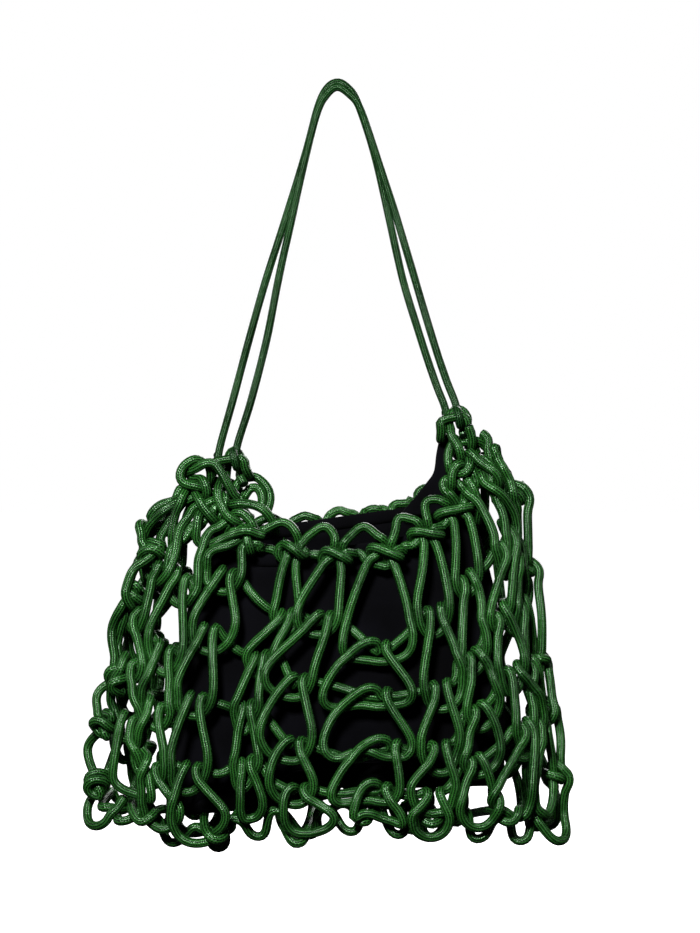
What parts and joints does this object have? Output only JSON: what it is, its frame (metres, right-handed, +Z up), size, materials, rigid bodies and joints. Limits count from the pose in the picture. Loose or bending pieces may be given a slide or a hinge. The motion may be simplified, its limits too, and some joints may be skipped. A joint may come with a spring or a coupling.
{
  "type": "knotted cord shoulder bag",
  "caption": "Slouchy shoulder bag: an open hand-knotted net of coated cord round a black cloth pouch, hung by a swinging cord handle.",
  "frame": {"origin": "where a hook bears on the underside of the top of the handle", "axes": "+Z up, +X to the right seen from the front, front of the bag towards -Y"},
  "size_m": [0.382, 0.124, 0.599],
  "materials": {
    "net_cord": "braided cord with a waxy satin coating, bottle green",
    "handle_cord": "the same coated braided cord, drawn straight and a little greyer",
    "pouch_cloth": "matt black plain weave cloth with soft creases",
    "thread": "matt black sewing thread"
  },
  "bodies": {
    "bag": {"left_corner_loop": "net_cord", "right_corner_loop": "net_cord", "left_corner_lashing": "net_cord", "right_corner_lashing": "net_cord", "front_net_rim": "net_cord", "front_net_course_1": "net_cord", "front_net_course_2": "net_cord", "front_net_course_3": "net_cord", "front_net_course_4": "net_cord", "front_net_course_5": "net_cord", "back_net_rim": "net_cord", "back_net_course_1": "net_cord", "back_net_course_2": "net_cord", "back_net_course_3": "net_cord", "back_net_course_4": "net_cord", "back_net_course_5": "net_cord", "left_side_lacing": "net_cord", "right_side_lacing": "net_cord", "base_lacing": "net_cord", "pouch_front_panel": "pouch_cloth", "pouch_back_panel": "pouch_cloth", "pouch_base": "pouch_cloth", "pouch_mouth_binding": "pouch_cloth", "left_pouch_tab": "pouch_cloth", "right_pouch_tab": "pouch_cloth", "tab_stitches": "thread"},
    "front_handle": {"handle_front_strand": "handle_cord"},
    "back_handle": {"handle_back_strand": "handle_cord"}
  },
  "joints": [
    {"name": "front_handle_swing", "type": "hinge", "parent": "bag", "child": "front_handle", "pos_m": [0.002, -0.0098, -0.268], "axis": [0.9829, 0, 0.1839], "range_deg": [0, 95]},
    {"name": "back_handle_swing", "type": "hinge", "parent": "bag", "child": "back_handle", "pos_m": [0.002, 0.0098, -0.268], "axis": [-0.9829, 0, -0.1839], "range_deg": [0, 95]}
  ]
}
